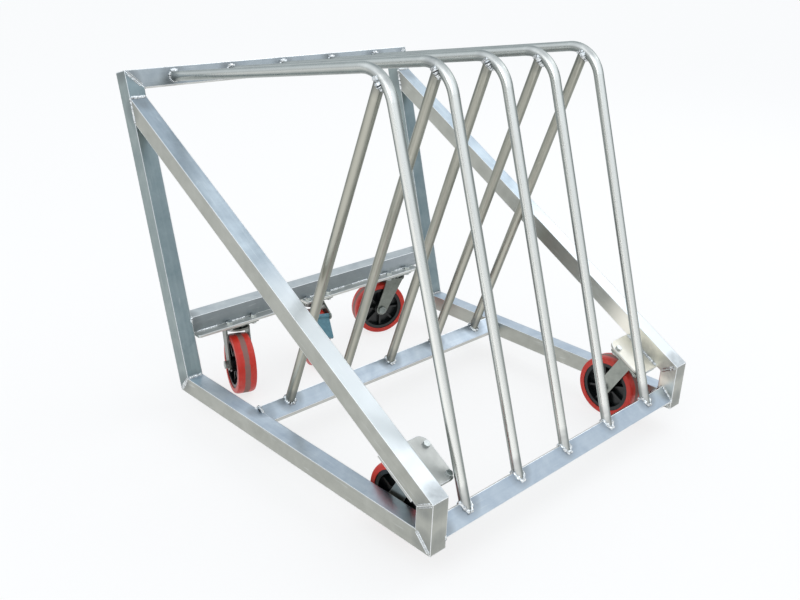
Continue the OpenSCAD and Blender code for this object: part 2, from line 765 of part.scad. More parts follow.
color("#0e1a1c") swivel_wheel(0) wheel_core();  // swivel_core_left
color("#0e1a1c") swivel_wheel(1) wheel_core();  // swivel_core_middle
color("#0e1a1c") swivel_wheel(2) wheel_core();  // swivel_core_right
color("#c8322a") swivel_wheel(0) tyre();  // swivel_tyre_left
color("#c8322a") swivel_wheel(1) tyre();  // swivel_tyre_middle
color("#c8322a") swivel_wheel(2) tyre();  // swivel_tyre_right
kingpins();
swivel_balls();
brake_pedal();
brake_pin();
plate_bolts();
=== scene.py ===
# %% [markdown]
# # A cart for round tables
# The real cart is a welded frame of mill-finish aluminium tube on five casters.
# Round table tops stand on edge in the slots between its bent hoops.
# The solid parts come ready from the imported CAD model. This lesson gives each one
# its finish, lays the weld beads that hold the frame together, and lights it.

# %% The frame and the helpers that every step uses
import math
import random

import bmesh
import bpy
from mathutils import Matrix, Vector


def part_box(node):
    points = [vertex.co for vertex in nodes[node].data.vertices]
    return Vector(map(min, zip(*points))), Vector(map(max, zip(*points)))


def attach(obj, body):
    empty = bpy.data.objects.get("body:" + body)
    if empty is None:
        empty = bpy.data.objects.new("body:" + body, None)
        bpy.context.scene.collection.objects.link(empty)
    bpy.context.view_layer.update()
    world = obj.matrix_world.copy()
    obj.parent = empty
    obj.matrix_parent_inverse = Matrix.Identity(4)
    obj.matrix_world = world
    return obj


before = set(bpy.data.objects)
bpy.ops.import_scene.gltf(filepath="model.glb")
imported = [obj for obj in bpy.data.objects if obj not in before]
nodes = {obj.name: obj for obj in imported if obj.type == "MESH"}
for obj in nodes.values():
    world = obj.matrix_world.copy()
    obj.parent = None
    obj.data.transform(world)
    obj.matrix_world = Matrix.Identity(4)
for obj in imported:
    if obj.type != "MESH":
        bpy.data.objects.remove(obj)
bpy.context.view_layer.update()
random.seed(7)
MM = 0.001


def linear(hex_colour):
    """An sRGB colour such as #C93A2E as the linear colour that a shader reads."""
    shares = [int(hex_colour[i:i + 2], 16) / 255 for i in (1, 3, 5)]
    return [s / 12.92 if s <= 0.04045 else ((s + 0.055) / 1.055) ** 2.4 for s in shares] + [1]


def add(tree, kind, sockets=None, **settings):
    """Adds one node, with its settings, and with a value or a link for each socket named."""
    node = tree.nodes.new(kind)
    for key, value in settings.items():
        setattr(node, key, value)
    for key, value in (sockets or {}).items():
        if isinstance(value, bpy.types.NodeSocket):
            tree.links.new(value, node.inputs[key])
        else:
            node.inputs[key].default_value = value
    return node


def blend(tree, share, first, second):
    """Mixes two colours, the second by its share."""
    return add(tree, "ShaderNodeMix", {0: share, 6: first, 7: second}, data_type="RGBA").outputs[2]


def calculate(tree, operation, *values, **settings):
    """The result of a shader's sum, such as MULTIPLY_ADD."""
    return add(tree, "ShaderNodeMath", dict(enumerate(values)), operation=operation,
               **settings).outputs[0]


# %% [markdown]
# ## The camera
# The photograph was taken from the front left, a little above the cart, with the
# camera turned slightly clockwise. It could be matched by eye, but then every tube is
# a little off. The place and turn below were worked out from the straight edges of the
# frame, whose sizes are known, so the tubes fall on their lines.

# %% The camera
EYE = Vector((-1.41091, -1.38657, 1.09791))
AIM = Vector((0.65322, 0.65168, -0.38550))
ROLL = math.radians(2.362)

camera_data = bpy.data.cameras.new("camera")
camera_data.sensor_width = 36
camera_data.lens = 40.71
camera_data.clip_end = 100
camera = bpy.data.objects.new("camera", camera_data)
bpy.context.scene.collection.objects.link(camera)
camera.matrix_world = (Matrix.Translation(EYE) @ AIM.to_track_quat("-Z", "Y").to_matrix().to_4x4()
                       @ Matrix.Rotation(ROLL, 4, "Z"))
bpy.context.scene.camera = camera
bpy.context.scene.view_settings.view_transform = "Standard"
print("Camera at", EYE[:])

# %% [markdown]
# ## Floor, sky and lamps
# Bare metal has little colour of its own: it shows what stands round it. Many lamps
# could pick out each edge, but they also burn out the pale faces. A pale floor, a sky
# that is lighter overhead than at the horizon, and one large soft lamp with a weaker
# one across from it give each face of a square tube its own tone, as daylight does.

# %% The floor
FLOOR_SIZE = 30
# The share of the floor's tone that is plain white where it is seen. The rest is lit,
# and holds the shadow
SEEN_WHITE = 0.76

bm = bmesh.new()
bmesh.ops.create_grid(bm, x_segments=1, y_segments=1, size=FLOOR_SIZE)
floor_mesh = bpy.data.meshes.new("floor")
bm.to_mesh(floor_mesh)
bm.free()
floor = bpy.data.objects.new("floor", floor_mesh)
bpy.context.scene.collection.objects.link(floor)

floor_paint = bpy.data.materials.new("white_floor_paint")
floor_paint.use_nodes = True
floor_tree = floor_paint.node_tree
floor_shader = floor_tree.nodes["Principled BSDF"]
floor_shader.inputs["Base Color"].default_value = linear("#F4F4F4")
floor_shader.inputs["Roughness"].default_value = 0.9
floor_shader.inputs["Specular IOR Level"].default_value = 0
ray = add(floor_tree, "ShaderNodeLightPath").outputs
seen = calculate(floor_tree, "ADD", ray["Is Camera Ray"], ray["Is Glossy Ray"])
seen = calculate(floor_tree, "ADD", seen, ray["Is Transmission Ray"])
whiteness = calculate(floor_tree, "MULTIPLY", seen, SEEN_WHITE)
white = add(floor_tree, "ShaderNodeEmission", {"Color": (1, 1, 1, 1), "Strength": 1.0}).outputs[0]
mixed = add(floor_tree, "ShaderNodeMixShader",
            {0: whiteness, 1: floor_shader.outputs[0], 2: white}).outputs[0]
floor_tree.links.new(mixed, floor_tree.nodes["Material Output"].inputs["Surface"])
floor_mesh.materials.append(floor_paint)
print("Floor reaches", FLOOR_SIZE, "m each way")

# %% The sky
SKY_STRENGTH = 1.1

world = bpy.data.worlds.new("soft_sky")
bpy.context.scene.world = world
world.use_nodes = True
sky = world.node_tree
sky.nodes.clear()
way_up = add(sky, "ShaderNodeSeparateXYZ", {0: add(sky, "ShaderNodeTexCoord").outputs["Generated"]})
height = add(sky, "ShaderNodeMapRange",
             {"Value": way_up.outputs["Z"], "From Min": -0.05, "From Max": 0.55},
             interpolation_type="SMOOTHSTEP")
sky_colour = blend(sky, height.outputs[0], linear("#C0C5C8"), linear("#EAF1F8"))
background = add(sky, "ShaderNodeBackground", {"Color": sky_colour, "Strength": SKY_STRENGTH})
add(sky, "ShaderNodeOutputWorld", {"Surface": background.outputs[0]})
print("Sky turns from grey to pale blue, at strength", SKY_STRENGTH)


# %% The lamps
def soft_lamp(name, place, target, size, power):
    """A square lamp that faces its target, with an even soft light."""
    lamp_data = bpy.data.lights.new(name, "AREA")
    lamp_data.shape = "SQUARE"
    lamp_data.size = size
    lamp_data.energy = power
    lamp = bpy.data.objects.new(name, lamp_data)
    bpy.context.scene.collection.objects.link(lamp)
    lamp.location = place
    lamp.rotation_euler = (Vector(target) - Vector(place)).to_track_quat("-Z", "Y").to_euler()
    print(name, "at", place, "power", power)


soft_lamp("key_lamp", place=(3.0, -0.4, 3.6), target=(0, 0, 0.4), size=3.2, power=36)
soft_lamp("fill_lamp", place=(-3.2, -0.6, 2.8), target=(0, 0, 0.3), size=2.6, power=20)

# %% [markdown]
# ## Lengths of the frame
# The welds have to lie where the tubes meet. Those places could be read off the meshes
# one by one, but a drawing is easier to follow: the main lengths of the real frame are
# repeated here in millimetres. A side outline is drawn as forward and up from the rear
# lower corner of the base rails, and every other point follows from these values.

# %% Lengths of the frame
# Half the width, the square tube, the depth of the base and its height over the floor
HALF_W, TUBE, BASE_D, BASE_CLEAR = 430, 40, 822, 54
# The back's height and lean, the brace's top below it, and the front post's height
BACK_H, BACK_LEAN, BRACE_DROP, FRONT_POST_H = 711, math.radians(15.6), 60, 111
# The centre of both turned rails over the base, and the middle one's place forward
TURNED_RAIL_Z, MIDDLE_RAIL_F = 22, 259
# The round tube, the distance from hoop to hoop, and the radius of their bends
HOOP_OD, HOOP_PITCH, BEND_R = 22, 155.5, 75
# A hoop's start below the back's top, the rise of its long run and the lean of its leg
HOOP_DROP, HOOP_RISE, LEG_LEAN = 22, math.radians(9.2), math.radians(18)
# The feet stand this far behind the front rail's ridge and ahead of the middle rail's
LEG_FOOT_BACK, STRUT_FOOT_F = 1, 8
# Each strut meets its hoop at this share of the bend, from the bend's rear end
STRUT_TOP_SHARES = (0.5, 0.4, 0.32, 0.38, 0.38)
# A front plate's reach ahead of and behind its caster, and its gap to the brace's toe
PLATE_AHEAD, PLATE_BEHIND, TOE_GAP = 46, 58, 13

INNER_W = HALF_W - TUBE
HALF_DIAG = TUBE * math.sqrt(0.5)
MID_F = (BASE_D - BACK_H * math.tan(BACK_LEAN)) / 2
HOOPS = [HOOP_PITCH * k for k in (-2, -1, 0, 1, 2)]


def flat(forward, up):
    """A point or direction in a side outline."""
    return Vector((forward, up))


def at(x, outline_point):
    """The place in space of an outline's point, in metres."""
    return Vector((x, MID_F - outline_point[0], BASE_CLEAR + outline_point[1])) * MM


def way(x, outline_way):
    """The direction in space of an outline's direction, with a share x to the right."""
    return Vector((x, -outline_way[0], outline_way[1])).normalized()


UP, FORWARD = flat(0, 1), flat(1, 0)
LEAN_UP = flat(-math.sin(BACK_LEAN), math.cos(BACK_LEAN))
LEAN_FRONT = flat(math.cos(BACK_LEAN), math.sin(BACK_LEAN))
POST_LEN = BACK_H / math.cos(BACK_LEAN)
# The base's inner angles behind and in front, then the brace's corners at both posts
HEEL = flat(TUBE * (1 - math.sin(BACK_LEAN)) / math.cos(BACK_LEAN), TUBE)
TOE = flat(BASE_D - TUBE, TUBE)
BRACE_TOP = LEAN_UP * (POST_LEN - BRACE_DROP) + LEAN_FRONT * TUBE
BRACE_END = flat(BASE_D, FRONT_POST_H)
BRACE_WAY = (BRACE_END - BRACE_TOP).normalized()
BRACE_UNDER = flat(BRACE_WAY[1], -BRACE_WAY[0])
BRACE_HEEL = (BRACE_TOP + BRACE_UNDER * TUBE
              - BRACE_WAY * TUBE * BRACE_UNDER.dot(LEAN_FRONT) / BRACE_WAY.dot(LEAN_FRONT))
BRACE_TOE = (BRACE_TOP + BRACE_UNDER * TUBE
             + BRACE_WAY * (TOE[0] - BRACE_TOP[0] - BRACE_UNDER[0] * TUBE) / BRACE_WAY[0])
print("Brace slopes", round(math.degrees(math.atan2(-BRACE_WAY[1], BRACE_WAY[0])), 2), "degrees")

# %% [markdown]
# ## How a weld bead is made
# A bead of aluminium weld is a row of small overlapping ripples, like fallen coins.
# It could be a wave in the material, but then it has no outline. Here a small oval
# is extruded along the joint, ring by ring, and each ring swells and shrinks a little.

# %% A weld bead
RIPPLE = 3.4 * MM
RINGS_PER_RIPPLE = 4
RING_SIDES = 8
# No hand lays an even bead: the rings' size and place vary by these shares
UNEVEN, SWAY = 0.06, 0.04
# A bead's first and last ring are low, and it gains its height in steps from there
END_SHARE, END_STEP = 0.4, 0.3


def along_line(start, end):
    """Points along a straight joint, close enough for the ripples."""
    count = max(RINGS_PER_RIPPLE, round((end - start).length / RIPPLE * RINGS_PER_RIPPLE))
    return [start.lerp(end, i / count) for i in range(count + 1)]


def bead(welds, line, outs, width, height, swelling=0.17):
    """Adds a rippled bead to the mesh welds, along the points of line and raised along outs."""
    last = len(line) - 1
    lay = []
    for i, point in enumerate(line):
        along = (line[min(i + 1, last)] - line[max(i - 1, 0)]).normalized()
        side = along.cross(outs[i]).normalized()
        out = side.cross(along)
        swell = 1 + swelling * math.cos(2 * math.pi * i / RINGS_PER_RIPPLE)
        swell *= random.uniform(1 - UNEVEN, 1 + UNEVEN)
        swell *= min(1, END_SHARE + END_STEP * min(i, last - i))
        columns = (side * width / 2 * swell, out * height * swell, along * width / 2)
        turn = Matrix(columns).transposed()
        sway = side * random.uniform(-SWAY, SWAY) * width
        lay.append(Matrix.Translation(point + sway) @ turn.to_4x4())
    one = bmesh.new()
    ring = bmesh.ops.create_circle(one, cap_ends=True, segments=RING_SIDES, radius=1, matrix=lay[0])
    face = ring["verts"][0].link_faces[0]
    for before, after in zip(lay, lay[1:]):
        made = bmesh.ops.extrude_face_region(one, geom=[face])["geom"]
        face = next(g for g in made if isinstance(g, bmesh.types.BMFace))
        bmesh.ops.transform(one, matrix=after @ before.inverted(), verts=face.verts)
    bmesh.ops.recalc_face_normals(one, faces=one.faces)
    for smooth_face in one.faces:
        smooth_face.smooth = True
    bead_mesh = bpy.data.meshes.new("bead")
    one.to_mesh(bead_mesh)
    one.free()
    welds.from_mesh(bead_mesh)
    bpy.data.meshes.remove(bead_mesh)


print("A bead has a ripple every", RIPPLE / MM, "mm")

# %% Straight beads, and the piece that holds them
TOE_BEAD = {"width": 3.2 * MM, "height": 0.9 * MM}
TOES_APART = 6.5 * MM


def seam(welds, start, end, out, width, height):
    """A straight bead from start to end."""
    line = along_line(start, end)
    bead(welds, line, [out] * len(line), width, height)


def mitre(welds, start, end, out):
    """Two narrow beads side by side, as a low weld across a mitre shows its two toes."""
    apart = (end - start).cross(out).normalized() * TOES_APART / 2
    seam(welds, start + apart, end + apart, out, **TOE_BEAD)
    seam(welds, start - apart, end - apart, out, **TOE_BEAD)


def weld_piece(name, welds):
    """Turns a mesh full of beads into a piece that rides on the frame."""
    mesh = bpy.data.meshes.new(name)
    welds.to_mesh(mesh)
    welds.free()
    piece = bpy.data.objects.new(name, mesh)
    bpy.context.scene.collection.objects.link(piece)
    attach(piece, "frame")
    print(name, "has", len(mesh.polygons), "faces")
    return piece


# %% [markdown]
# ## Welds of the square tubes
# The frame's corners are mitred, so a low bead crosses each face of a corner, and a
# fuller one fills its inner angle. The braces and rails end square on another tube,
# so a bead runs round them where they touch it. One loop for both sides keeps the
# left and the right alike, and only the hand's unevenness differs.

# %% Mitres of the leaning back
BUTT = {"width": 8 * MM, "height": 0.9 * MM}
FILLET = {"width": 10 * MM, "height": 4 * MM}
RAIL_FILLET = {"width": 8 * MM, "height": 3.4 * MM}
# Beads stop short of a tube's corner by this much, and the back's mitres by more
SETBACK, MITRE_SETBACK = 1.5, 5

weld_pieces = []
welds = bmesh.new()
for side in (-1, 1):
    outer, inner = side * HALF_W, side * INNER_W
    for depth, out in ((TUBE, LEAN_FRONT), (0, -LEAN_FRONT)):
        top = LEAN_UP * POST_LEN + LEAN_FRONT * depth
        mitre(welds, at(outer - side * MITRE_SETBACK, top - LEAN_UP * MITRE_SETBACK),
              at(inner + side * MITRE_SETBACK, top - LEAN_UP * (TUBE - MITRE_SETBACK)), way(0, out))
    corner = LEAN_UP * (POST_LEN - TUBE)
    seam(welds, at(inner, corner), at(inner, corner + LEAN_FRONT * TUBE), way(-side, -LEAN_UP),
         **FILLET)
weld_pieces.append(weld_piece("welds_top_rail", welds))

# %% Mitres of the sides
# The mitre's weld covers this stretch of the way from a corner to its inner angle
MITRE_FROM, MITRE_TO = 0.12, 0.92

welds = bmesh.new()
for side in (-1, 1):
    outer, inner = side * HALF_W, side * INNER_W
    mitres = ((flat(0, 0), HEEL, UP + LEAN_FRONT), (flat(BASE_D, 0), TOE, UP - FORWARD),
              (BRACE_END, BRACE_TOE, BRACE_UNDER - FORWARD))
    for corner, angle, inward in mitres:
        start, end = corner.lerp(angle, MITRE_FROM), corner.lerp(angle, MITRE_TO)
        mitre(welds, at(outer, start), at(outer, end), way(side, flat(0, 0)))
        mitre(welds, at(inner, start), at(inner, end), way(-side, flat(0, 0)))
        seam(welds, at(outer - side * SETBACK, angle), at(inner + side * SETBACK, angle),
             way(0, inward), **FILLET)
weld_pieces.append(weld_piece("welds_side_corners", welds))

# %% Upper ends of the braces
welds = bmesh.new()
for side in (-1, 1):
    outer, inner = side * HALF_W, side * INNER_W
    for corner, out in ((BRACE_TOP, LEAN_FRONT - BRACE_UNDER),
                        (BRACE_HEEL, LEAN_FRONT + BRACE_UNDER)):
        seam(welds, at(outer - side * SETBACK, corner), at(inner + side * SETBACK, corner),
             way(0, out), **FILLET)
    seam(welds, at(outer, BRACE_TOP), at(outer, BRACE_HEEL), way(side, flat(0, 0)), **BUTT)
    seam(welds, at(inner, BRACE_TOP), at(inner, BRACE_HEEL), way(-side, flat(0, 0)), **BUTT)
weld_pieces.append(weld_piece("welds_brace_tops", welds))

# %% Ends of the three cross rails
rear_low, rear_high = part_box("rear_rail")
rear_f = (MID_F - rear_high.y / MM, MID_F - rear_low.y / MM)
rear_z = (rear_low.z / MM - BASE_CLEAR, rear_high.z / MM - BASE_CLEAR)
rear_outline = [flat(rear_f[0], rear_z[0]), flat(rear_f[1], rear_z[0]),
                flat(rear_f[1], rear_z[1]), flat(rear_f[0], rear_z[1])]
FRONT_RAIL_F = BASE_D - HALF_DIAG


def turned_outline(forward):
    """The four corners of a square tube that stands on its edge."""
    return [flat(forward, TURNED_RAIL_Z - HALF_DIAG), flat(forward + HALF_DIAG, TURNED_RAIL_Z),
            flat(forward, TURNED_RAIL_Z + HALF_DIAG), flat(forward - HALF_DIAG, TURNED_RAIL_Z)]


welds = bmesh.new()
for outline in (rear_outline, turned_outline(MIDDLE_RAIL_F), turned_outline(FRONT_RAIL_F)):
    centre = sum(outline, flat(0, 0)) / 4
    for start, end in zip(outline, outline[1:] + outline[:1]):
        for side in (-1, 1):
            outward = ((start + end) / 2 - centre).normalized()
            seam(welds, at(side * INNER_W, start), at(side * INNER_W, end), way(-side, outward),
                 **RAIL_FILLET)
weld_pieces.append(weld_piece("welds_rail_ends", welds))

# %% [markdown]
# ## Welds of the hoops and struts
# A round tube that ends on a flat face is welded in an oval ring, and one that ends
# over the ridge of a turned rail in a saddle. A boolean would give the joint's edge,
# but in points too uneven for the ripples. Here each point of the ring is found by
# sliding a line of the tube's surface down to the faces that it ends on.

# %% Centre lines of a hoop and its strut
RUN_WAY = flat(math.cos(HOOP_RISE), math.sin(HOOP_RISE))
LEG_WAY = flat(math.sin(LEG_LEAN), -math.cos(LEG_LEAN))
RIDGE_Z = TURNED_RAIL_Z + HALF_DIAG
HOOP_START = LEAN_UP * (POST_LEN - HOOP_DROP) + LEAN_FRONT * TUBE
LEG_END = flat(FRONT_RAIL_F - LEG_FOOT_BACK, RIDGE_Z)
# The run and the leg cross at the hoop's corner, and the bend rounds it off
gap = LEG_END - HOOP_START
run_len = ((gap[0] * LEG_WAY[1] - gap[1] * LEG_WAY[0])
           / (RUN_WAY[0] * LEG_WAY[1] - RUN_WAY[1] * LEG_WAY[0]))
hoop_corner = HOOP_START + RUN_WAY * run_len
HOOP_TURN = HOOP_RISE + math.radians(90) - LEG_LEAN
bend_from = hoop_corner - RUN_WAY * BEND_R * math.tan(HOOP_TURN / 2)
BEND_MID = bend_from + flat(RUN_WAY[1], -RUN_WAY[0]) * BEND_R
STRUT_END = flat(MIDDLE_RAIL_F + STRUT_FOOT_F, RIDGE_Z)
strut_angles = [math.radians(90) + HOOP_RISE - HOOP_TURN * share for share in STRUT_TOP_SHARES]
STRUT_TOPS = [BEND_MID + flat(math.cos(a), math.sin(a)) * BEND_R for a in strut_angles]
STRUT_WAYS = [(STRUT_END - top).normalized() for top in STRUT_TOPS]
print("Hoop corner", hoop_corner[:], "first strut's top", STRUT_TOPS[0][:])


# %% The joint line round a tube's end
def ring_round(x, centre, heading, reach, ripple=RIPPLE):
    """The points round a tube's end at x, and the way out at each.

    reach says how far a line of the tube's surface runs on past the centre, along the
    heading, and which way the face that it ends on looks.
    """
    line, outs = [], []
    across = flat(-heading[1], heading[0])
    count = round(math.pi * HOOP_OD * MM / ripple) * RINGS_PER_RIPPLE
    for i in range(count + 2):
        angle = 2 * math.pi * i / count
        sideways, rise = HOOP_OD / 2 * math.cos(angle), HOOP_OD / 2 * math.sin(angle)
        slide, face_out = reach(sideways, centre + across * rise)
        line.append(at(x + sideways, centre + across * rise + heading * slide))
        off_tube = way(math.cos(angle), across * math.sin(angle))
        outs.append((off_tube + way(0, face_out)).normalized())
    return line, outs


def ridge(forward):
    """The two upper faces of a turned rail, each as a point and its way out."""
    top = flat(forward, RIDGE_Z)
    return [(top, flat(1, 1).normalized()), (top, flat(-1, 1).normalized())]


def slide_onto(faces, heading):
    """The reach of a tube that ends on flat faces."""
    def reach(sideways, start):
        hits = (((p - start).dot(n) / heading.dot(n), n) for p, n in faces)
        return max(hits, key=lambda hit: hit[0])
    return reach


# The search for a strut's joint starts this many millimetres down from the bend's middle
# line, and halves what is left this many times
CLEAR_OF_BEND, HALVINGS = 60, 24


def under_bend(heading):
    """The reach of a strut that ends under its hoop's bend."""
    def reach(sideways, start):
        clear, inside = CLEAR_OF_BEND, 0
        for _ in range(HALVINGS):
            slide = (clear + inside) / 2
            off_arc = (start + heading * slide - BEND_MID).length - BEND_R
            apart = math.hypot(off_arc, sideways) - HOOP_OD / 2
            clear, inside = (slide, inside) if apart > 0 else (clear, slide)
        return slide, heading
    return reach


print("A round tube's weld is at least", round(math.pi * HOOP_OD), "mm long")

# %% Hoop and strut welds
ROUND_BEAD = {"width": 8 * MM, "height": 3.6 * MM}
FOOT_BEAD = {"width": 9 * MM, "height": 4.6 * MM, "swelling": 0.3}
FOOT_RIPPLE = 7 * MM
# The welder ended each ring in a blob: on top of a hoop's start, and in front of a
# strut's top. Its stretch of the ring is given in shares
BLOB = {"width": 14 * MM, "height": 8 * MM, "swelling": 0.1}
BLOB_SHARES = {"welds_hoop_starts": (0.62, 0.88), "welds_strut_tops": (0.2, 0.48)}

starts = slide_onto([(HOOP_START, LEAN_FRONT)], -RUN_WAY)
feet = slide_onto(ridge(FRONT_RAIL_F), LEG_WAY)
joints = {
    "welds_hoop_starts": [(HOOP_START, -RUN_WAY, starts, ROUND_BEAD) for _ in HOOPS],
    "welds_hoop_feet": [(LEG_END, LEG_WAY, feet, FOOT_BEAD) for _ in HOOPS],
    "welds_strut_feet": [
        (STRUT_END, strut_way, slide_onto(ridge(MIDDLE_RAIL_F), strut_way), FOOT_BEAD)
        for strut_way in STRUT_WAYS],
    "welds_strut_tops": [(top, strut_way, under_bend(strut_way), ROUND_BEAD)
                         for top, strut_way in zip(STRUT_TOPS, STRUT_WAYS)],
}
for name, rings in joints.items():
    welds = bmesh.new()
    for x, (centre, heading, reach, size) in zip(HOOPS, rings):
        ripple = FOOT_RIPPLE if size is FOOT_BEAD else RIPPLE
        line, outs = ring_round(x, centre, heading, reach, ripple)
        bead(welds, line, outs, **size)
        if name in BLOB_SHARES:
            low, high = (round(share * len(line)) for share in BLOB_SHARES[name])
            bead(welds, line[low:high], outs[low:high], **BLOB)
    weld_pieces.append(weld_piece(name, welds))

# %% [markdown]
# ## Welds of the caster plates
# The front plates are welded under the braces on three sides. The long rear plates are
# tacked to the rear rail with short stitches, because a full bead would warp them. The
# stitches could be evenly spaced, but a hand's are not, so their distance varies.

# %% Front plates
PLATE_SEAM = {"width": 10 * MM, "height": 5 * MM}
PLATE_END_SEAM = {"width": 7 * MM, "height": 3 * MM}
# How far the seams stop short of the plate's ends and of the brace's two edges
FROM_END, FROM_INNER, FROM_OUTER = 2, 3, 4
TOE_S = (BRACE_TOE - BRACE_TOP - BRACE_UNDER * TUBE).dot(BRACE_WAY)
FIXED_S = TOE_S - TOE_GAP - PLATE_AHEAD

under_top = BRACE_TOP + BRACE_UNDER * TUBE
rear_end = under_top + BRACE_WAY * (FIXED_S - PLATE_BEHIND)
front_end = under_top + BRACE_WAY * (FIXED_S + PLATE_AHEAD)
welds = bmesh.new()
for side in (-1, 1):
    inner = side * INNER_W
    seam(welds, at(inner, rear_end + BRACE_WAY * FROM_END),
         at(inner, front_end - BRACE_WAY * FROM_END), way(-side, -BRACE_UNDER), **PLATE_SEAM)
    for end, out in ((rear_end, -BRACE_WAY), (front_end, BRACE_WAY)):
        seam(welds, at(inner + side * FROM_INNER, end), at(side * (HALF_W - FROM_OUTER), end),
             way(0, out + BRACE_UNDER), **PLATE_END_SEAM)
weld_pieces.append(weld_piece("welds_front_plates", welds))

# %% Stitches along the rear plates
STITCH_SEAM = {"width": 7.5 * MM, "height": 3 * MM}
# A stitch's length, the distance from one to the next, how much that varies, and the
# first one's distance from the plate's end
STITCH, STITCH_EVERY, STITCH_VARIES, FIRST_STITCH = 58, 84, 0.1, 8

welds = bmesh.new()
for plate in ("rear_plate_left", "rear_plate_right"):
    low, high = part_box(plate)
    start = low.x / MM + FIRST_STITCH
    while start + STITCH < high.x / MM:
        for forward, out in ((rear_f[1], FORWARD + UP), (rear_f[0], UP - FORWARD)):
            corner = flat(forward, rear_z[0])
            seam(welds, at(start, corner), at(start + STITCH, corner), way(0, out), **STITCH_SEAM)
        start += STITCH_EVERY * random.uniform(1 - STITCH_VARIES, 1 + STITCH_VARIES)
weld_pieces.append(weld_piece("welds_rear_plates", welds))

# %% [markdown]
# ## What every finish needs
# Each real surface here is worn and sooty beside a weld, and painted highlights and
# painted reflections pale some sides, edges and patches of the aluminium. Masks could be
# painted by hand, but they would not follow a change of the frame. These helpers find a
# place by its distance from points of the drawing, and an edge by the Bevel node, whose
# rounded normal differs from the flat one only near an edge.


# %% Helpers for the finishes
def new_finish(name):
    """A material, the tree that it stands in, its shader and its object coordinates."""
    material = bpy.data.materials.new(name)
    material.use_nodes = True
    tree = material.node_tree
    place = add(tree, "ShaderNodeTexCoord").outputs["Object"]
    return material, tree, tree.nodes["Principled BSDF"], place


def connect(tree, shader, sources):
    """Links the shader's sockets, each by its name."""
    for name, source in sources.items():
        tree.links.new(source, shader.inputs[name])


def near_points(tree, place, points, reach):
    """A mask that is 1 round the points given and falls to 0 at the reach."""
    mask = None
    for point in points:
        apart = add(tree, "ShaderNodeVectorMath", {0: place, 1: point}, operation="DISTANCE")
        close = add(tree, "ShaderNodeMapRange",
                    {"Value": apart.outputs["Value"], "From Min": 0.35 * reach, "From Max": reach,
                     "To Min": 1.0, "To Max": 0.0}, interpolation_type="SMOOTHSTEP").outputs[0]
        if mask is not None:
            close = calculate(tree, "MAXIMUM", mask, close)
        mask = close
    return mask


def edge_wear_and_highlight(tree, radius, starts_at, full_at, most=1.0, samples=6):
    """The rounded normal, and a mask of the edges by how alike it and the flat one are."""
    rounded = add(tree, "ShaderNodeBevel", {"Radius": radius}, samples=samples).outputs[0]
    face_way = add(tree, "ShaderNodeNewGeometry").outputs["Normal"]
    alike = add(tree, "ShaderNodeVectorMath", {0: rounded, 1: face_way}, operation="DOT_PRODUCT")
    edge = add(tree, "ShaderNodeMapRange",
               {"Value": alike.outputs["Value"], "From Min": starts_at, "From Max": full_at,
                "To Max": most})
    return rounded, edge.outputs[0]


def finish(node, material):
    """Gives a CAD node its finish, in every slot that it has."""
    slots = nodes[node].material_slots
    if not slots:
        nodes[node].data.materials.append(material)
    for one in slots:
        one.material = material


print("To finish:", len(nodes), "CAD nodes and", len(weld_pieces), "weld pieces")

# %% [markdown]
# ## Mill-finish aluminium
# Extruded aluminium tube leaves the die with fine straight lines along its length, and
# oxide clouds it in patches as it ages. It is bare metal, so it is fully metallic with
# its default IOR. One grey and one roughness would look like plastic: lines, clouds,
# scuffs and soot from the welding all change how sharply the metal mirrors the sky.
# Faces that look up are tinted pale blue, a painted reflection of the sky, and painted
# highlights and painted reflections pale some sides, edges and patches.

# %% Marks of the mill and of use
CLOUD = 45 * MM
# The clouds on the round tubes, which carry the painted highlight, are smoother, by the noise's
# count of finer layers
CLOUD_LAYERS, ROUND_TUBE_CLOUD_LAYERS = 5.0, 2.0


def mill_marks(tree, place, along, line_width, cloud_layers):
    """The die's lines, the oxide's clouds and the scuffs, each from 0 to 1."""
    to_x = Vector(along).rotation_difference(Vector((1, 0, 0))).to_euler()
    lengthwise = add(tree, "ShaderNodeMapping", {"Vector": place, "Rotation": to_x}).outputs[0]
    # Die lines are about 0.3 mm wide on the real tube, and are drawn coarser so that they show
    stretch = (1.5, 0.5 / line_width, 0.5 / line_width)
    lined = add(tree, "ShaderNodeVectorMath", {0: lengthwise, 1: stretch},
                operation="MULTIPLY").outputs[0]
    lines = add(tree, "ShaderNodeTexNoise",
                {"Vector": lined, "Scale": 1.0, "Detail": 3.0}).outputs["Fac"]
    clouds = add(tree, "ShaderNodeTexNoise",
                 {"Vector": place, "Scale": 1 / CLOUD, "Detail": cloud_layers,
                  "Roughness": 0.62, "Distortion": 0.4}).outputs["Fac"]
    # Scuffs are some 50 mm long and 3 to 8 mm wide, and cross the tube at a slant, where
    # loads and other carts have rubbed it
    slanted = add(tree, "ShaderNodeMapping",
                  {"Vector": lengthwise, "Rotation": (0.3, 0.5, 0.6),
                   "Scale": (18, 380, 120)}).outputs[0]
    scratch = add(tree, "ShaderNodeTexNoise",
                  {"Vector": slanted, "Scale": 1.0, "Detail": 2.0}).outputs["Fac"]
    scuffs = add(tree, "ShaderNodeMapRange",
                 {"Value": scratch, "From Min": 0.66, "From Max": 0.72}).outputs[0]
    return lines, clouds, scuffs


print("Oxide clouds are", round(CLOUD / MM), "mm wide")

# %% Painted sky reflection, painted highlights and soot
# The painted sky reflection falls on faces that look up, and more on those that also look to the
# front
SKY_WAY = (0, -0.5, 1)
# The way that the round tubes' painted highlight faces, towards the front left
HIGHLIGHT_WAY = Vector((-0.74, -0.58, 0.3)).normalized()
SOOT_REACH = 55 * MM


